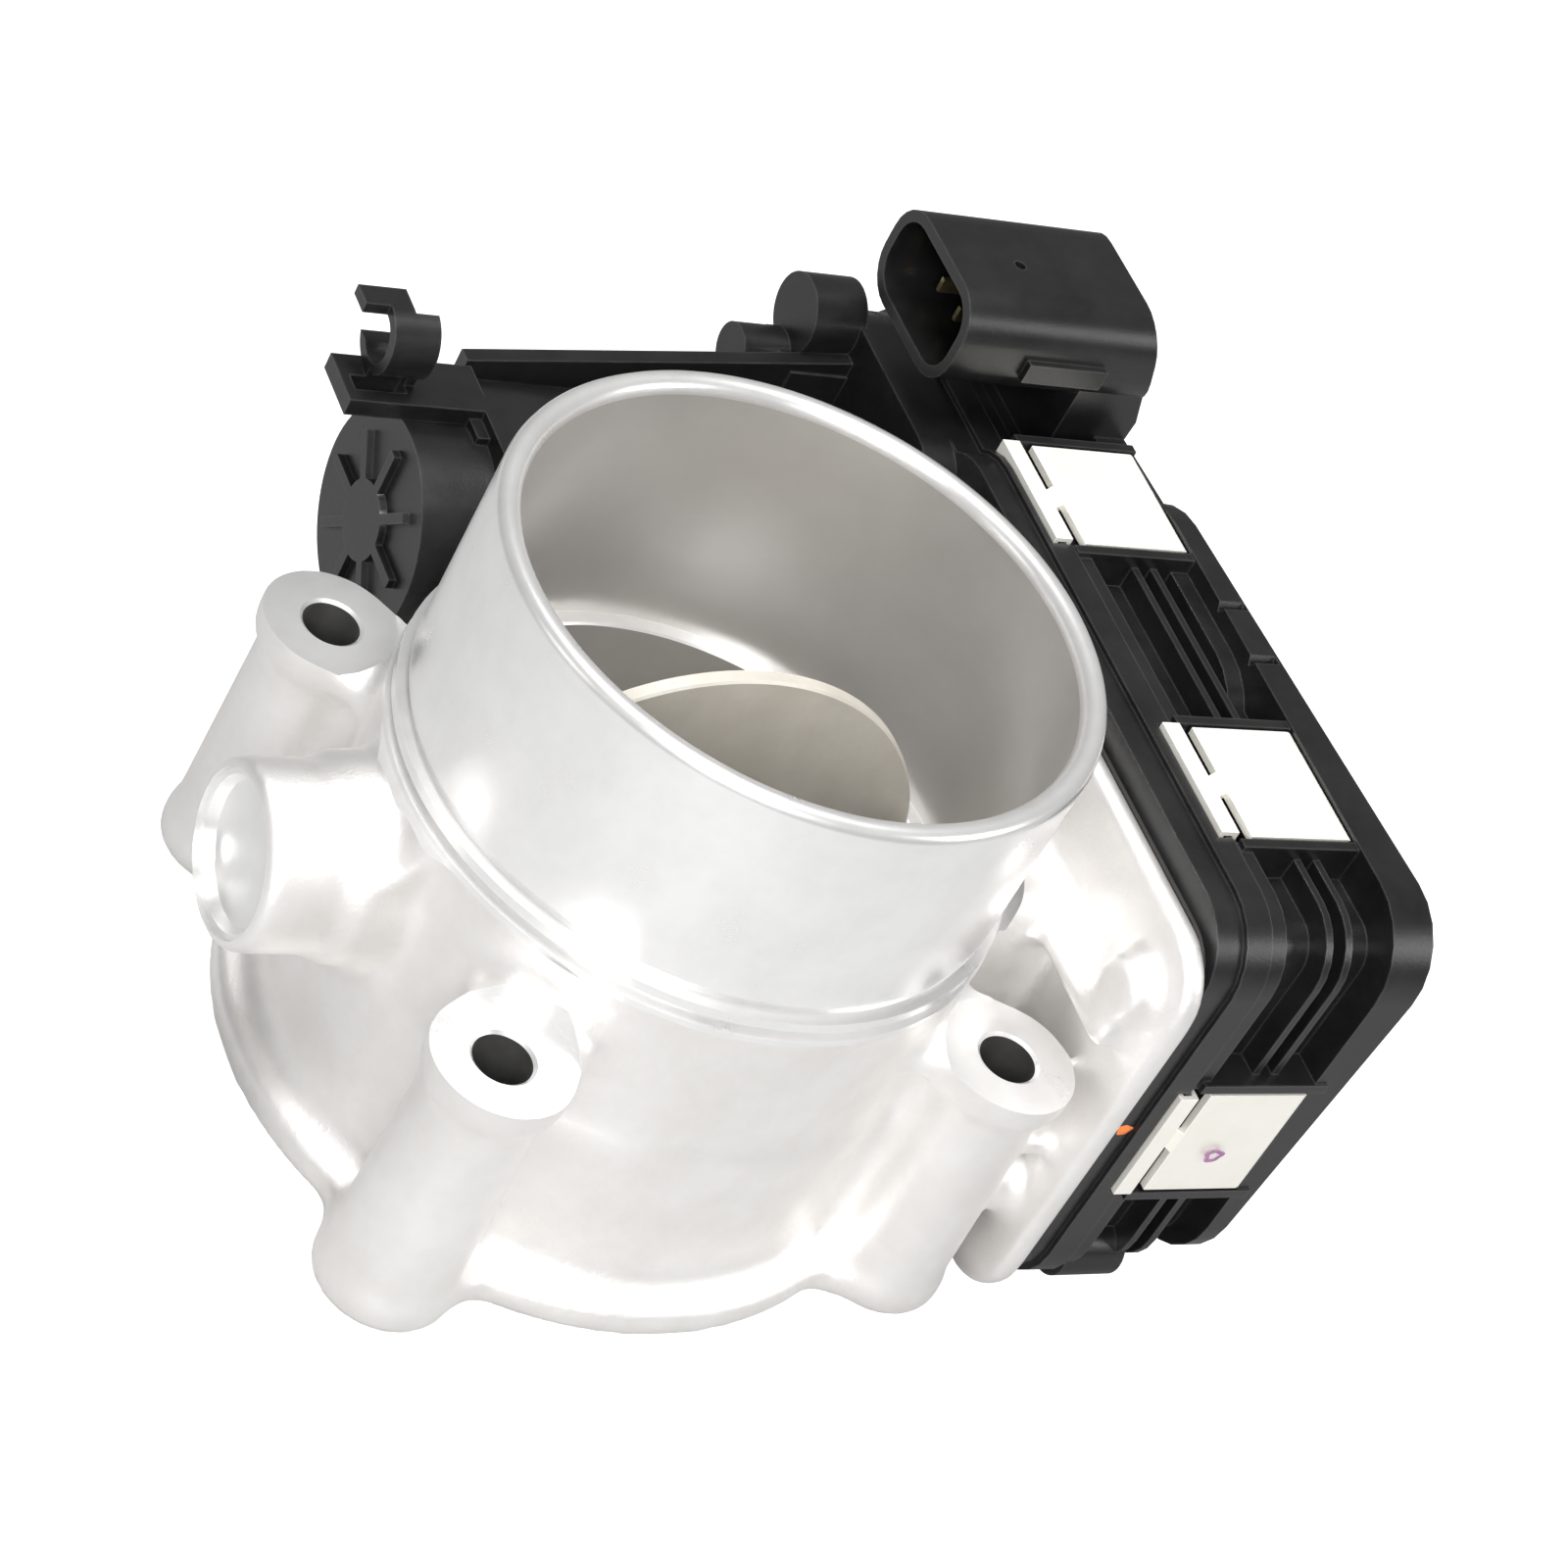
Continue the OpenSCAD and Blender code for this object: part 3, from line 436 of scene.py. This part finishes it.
def moulded(node, name, finish, radius):
    """A copy of a CAD shape with its flats smoothed into the curves and its corners broken."""
    made = cad[node].copy()
    made.data = cad[node].data.copy()
    made.name = name
    scene.collection.objects.link(made)
    shape = bmesh.new()
    shape.from_mesh(made.data)
    bmesh.ops.remove_doubles(shape, verts=shape.verts, dist=0.005 * MM)
    bmesh.ops.dissolve_limit(shape, angle_limit=math.radians(1), verts=shape.verts, edges=shape.edges)
    shape.to_mesh(made.data)
    shape.free()
    made.data.materials.clear()
    made.data.materials.append(finish)
    broken = made.modifiers.new("broken_corner", "BEVEL")
    broken.width = radius * MM
    broken.segments = 2
    broken.limit_method = "ANGLE"
    broken.angle_limit = math.radians(40)
    settle(made)
    smooth_by_angle(made, 30)
    flats = made.modifiers.new("flats_stay_flat", "WEIGHTED_NORMAL")
    flats.keep_sharp = True
    settle(made)
    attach(made, "body")
    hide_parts(node)


moulded("gear_housing", "moulded_gear_case", nylon, mould_edge)
moulded("gear_cover", "moulded_cover", nylon, mould_edge)

# ---- Spring clips ----
# Six bent strips of tin-plated spring steel, hooked over the case's lip and sprung on to the
# cover. The plating has a warm, almost cream tone.
plating = finish_of("tin_plate", (0.93, 0.91, 0.83), (0.96, 0.945, 0.88), (0.34, 0.44), 0.35,
                    (0.97, 0.95, 0.90), grain_scale=900.0, bump=0.06, depth=0.0001, patch=160.0)
moulded("cover_clips", "pressed_clips", plating, 0.12)

# ---- Paint dot and ink mark ----
# A dab of orange paint across the case joint and a small purple ring stamped on the front
# clip: the marks left by the inspector once the cover is on.
paint = finish_of("orange_paint", (0.80, 0.16, 0.03), (0.90, 0.24, 0.06), (0.35, 0.5), 0.0,
                  (0.9, 0.35, 0.15), grain_scale=900.0, bump=0.2, depth=0.0002)
ink = finish_of("purple_ink", (0.28, 0.09, 0.26), (0.48, 0.24, 0.44), (0.5, 0.6), 0.0,
                (0.5, 0.3, 0.45), grain_scale=900.0, bump=0.05, depth=0.0001, patch=900.0)


def dab(name, x, y, z, size, thick, hole, finish):
    """A flat drop on a wall facing the front, its outline wavering; a hole makes it a ring."""
    steps, rings, clear = 40, 5, 0.012
    verts, faces = [], []
    for i in range(rings + 1):
        share = i / rings
        for k in range(steps):
            a = 2 * math.pi * k / steps
            waver = 1 + 0.10 * math.sin(3 * a + 0.6) + 0.06 * math.sin(5 * a)
            r = size * waver * (hole + (1 - hole) * share)
            height = thick * (math.sin(math.pi * share) if hole else math.cos(0.5 * math.pi * share)) + clear
            verts.append((x + r * math.cos(a), y - height, z + 0.85 * r * math.sin(a)))
    for i in range(rings):
        for k in range(steps):
            b = (k + 1) % steps
            faces.append([i * steps + k, i * steps + b, (i + 1) * steps + b, (i + 1) * steps + k])
    if not hole:
        faces.append(list(range(steps)))
    drop = solid(name, verts, faces, finish)
    drop.data.shade_smooth()
    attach(drop, "body")
    return drop


case_front = Vector(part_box("gear_housing")[0]).y / MM
clip_front = Vector(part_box("cover_clips")[0]).y / MM
dab("paint_dot", 58.4, case_front + 0.8, 39, 1.25, 0.25, 0, paint)
dab("ink_ring", 75.5, clip_front, 35, 1.6, 0.02, 0.5, ink)

# ---- Throttle plate, shaft and their screws ----
# The plate is brass rolled flat and turned to size, held in the slot of a ground steel
# shaft by two screws.
brass = finish_of("brass_plate", (0.72, 0.68, 0.60), (0.80, 0.76, 0.68), (0.34, 0.46), 0.5,
                  (0.85, 0.82, 0.76), grain_scale=1200.0, bump=0.08, depth=0.0001, patch=90.0)
ground_steel = finish_of("ground_steel", (0.55, 0.55, 0.56), (0.66, 0.66, 0.67), (0.22, 0.34), 0.95,
                         (0.85, 0.85, 0.86), grain_scale=1900.0, bump=0.06, depth=0.0001, patch=150.0)


def finished(finish, *nodes):
    """Gives CAD nodes their material."""
    for node in nodes:
        cad[node].data.materials.clear()
        cad[node].data.materials.append(finish)


finished(brass, "throttle_plate")
finished(ground_steel, "throttle_shaft", "plate_screws")

# ---- Bearings, circlip and core plug ----
# Steel bearings and a retaining ring on the shaft, which stay inside the casting. The idle
# boss is closed by a plug pressed in flush with its mouth.
finished(ground_steel, "idle_bearing", "drive_bearing", "shaft_circlip")
finished(turned_face, "core_plug")

# ---- Motor and gears ----
# A small motor in a steel can with a brass pinion, and two moulded gears that bring its speed
# down to the throttle shaft.
gear_resin = finish_of("gear_resin", (0.78, 0.74, 0.62), (0.85, 0.82, 0.72), (0.40, 0.55), 0.0,
                       (0.92, 0.90, 0.84), grain_scale=1500.0, bump=0.08, depth=0.0001)
contact = finish_of("contact_brass", (0.70, 0.56, 0.28), (0.80, 0.66, 0.36), (0.22, 0.32), 0.95,
                    (0.92, 0.82, 0.56), grain_scale=1500.0, bump=0.04, depth=0.0001)
finished(ground_steel, "motor_can", "motor_rotor", "motor_screws", "intermediate_pin")
finished(nylon, "motor_end_cap")
finished(contact, "motor_pinion")
finished(gear_resin, "intermediate_gear", "sector_gear")

# ---- Return spring ----
# Ground steel wire wound round a moulded sleeve. It turns the throttle back when the motor
# lets go.
finished(ground_steel, "return_spring")
finished(gear_resin, "spring_sleeve")

# ---- Position sensor and connector pins ----
# A bonded magnet on the end of the shaft faces a laminate board in the cover. Brass pins
# carry its signal and the motor's current to the connector.
laminate = finish_of("board_laminate", (0.03, 0.16, 0.07), (0.05, 0.22, 0.10), (0.35, 0.5), 0.0,
                     (0.45, 0.42, 0.25), grain_scale=1400.0, bump=0.05, depth=0.0001)
rubber = finish_of("seal_rubber", (0.02, 0.018, 0.017), (0.032, 0.03, 0.028), (0.6, 0.75), 0.0,
                   (0.06, 0.058, 0.055), grain_scale=1800.0, bump=0.15, depth=0.0002)
finished(rubber, "sensor_magnet")
finished(laminate, "sensor_board")
finished(contact, "connector_pins")

# ---- Seals and case screws ----
# Rubber lip seals on the shaft, a gasket behind the case and a cord under the cover. Four
# steel screws hold the case to the casting.
finished(rubber, "cover_seal", "housing_gasket", "shaft_seals")
finished(ground_steel, "housing_screws")

# ---- Floor and light ----
# A pale sweep and soft panels, the way small parts are lit for a catalogue. The sweep glows
# to the camera alone, so it stays even and throws no light on the part.
paper = finish_of("pale_floor", (0.40, 0.40, 0.40), (0.42, 0.42, 0.42), (0.6, 0.7), 0.0, grain_scale=300.0,
                  bump=0.02, depth=0.0002)
paper_shader = paper.node_tree.nodes["Principled BSDF"]
ray = place(paper.node_tree, "ray")
paper.node_tree.links.new(ray.outputs["Is Camera Ray"], paper_shader.inputs["Emission Color"])
paper_shader.inputs["Emission Strength"].default_value = 1.0
half_side = 2500
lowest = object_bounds()[0][2] / MM
floor = pushed("floor", [(-half_side, -half_side), (half_side, -half_side), (half_side, half_side),
                         (-half_side, half_side)], -20, lowest - 0.05, "z", paper)
aim = Vector((0.01, 0.01, 0.04))
for name, spot, size, watts in (("top_panel", (-0.05, 0.05, 0.80), 0.40, 6.5),
                                ("key_panel", (-0.42, -0.68, 0.62), 0.36, 8.0),
                                ("left_panel", (-0.80, 0.10, 0.30), 0.30, 0.3),
                                ("right_panel", (0.60, -0.45, 0.40), 0.30, 1.2)):
    lamp = bpy.data.lights.new(name, "AREA")
    lamp.energy, lamp.size = watts, size
    stand = bpy.data.objects.new(name, lamp)
    stand.location = spot
    stand.rotation_euler = (aim - Vector(spot)).to_track_quat("-Z", "Y").to_euler()
    scene.collection.objects.link(stand)
scene.view_settings.view_transform = "Standard"
sky = bpy.data.worlds.new("studio")
scene.world = sky
sky.use_nodes = True
background = sky.node_tree.nodes["Background"]
background.inputs["Color"].default_value = (1.0, 0.995, 0.985, 1)
background.inputs["Strength"].default_value = 0.22
